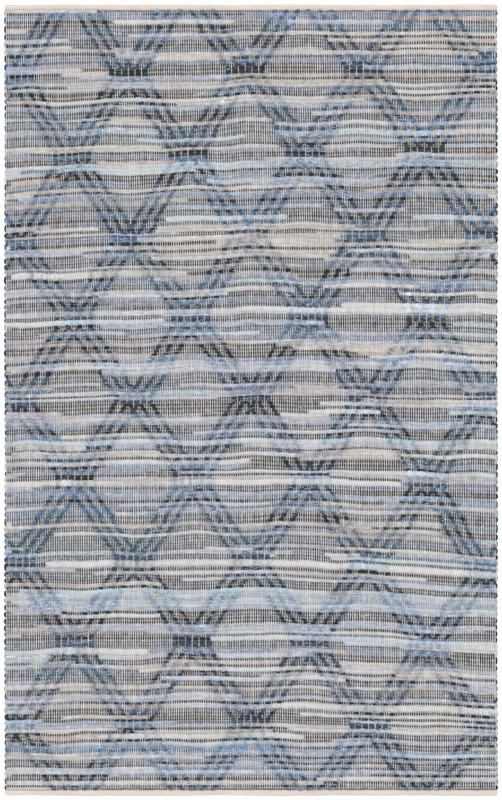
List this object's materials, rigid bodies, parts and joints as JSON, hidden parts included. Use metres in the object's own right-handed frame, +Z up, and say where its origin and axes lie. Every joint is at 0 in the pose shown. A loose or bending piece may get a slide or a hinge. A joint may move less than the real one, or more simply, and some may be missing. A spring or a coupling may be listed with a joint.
{
  "type": "rag rug",
  "caption": "Flat hand-woven rag rug of denim and cotton strips on a cotton warp, with a raised diamond trellis, rag-turn selvedges and a cotton heading at each end.",
  "frame": {"origin": "middle of the rug's underside, on the floor", "axes": "+Y along the rug's length towards the far heading, +X across its width, +Z up"},
  "size_m": [1.524, 2.4378, 0.0109],
  "materials": {
    "rag_weave": "matt woven denim and cotton rags tied down by cream cotton warp",
    "cotton_heading": "matt plain-woven cream cotton"
  },
  "bodies": {
    "root": {"rag_field": "rag_weave", "heading_far": "cotton_heading", "heading_near": "cotton_heading"}
  },
  "joints": []
}
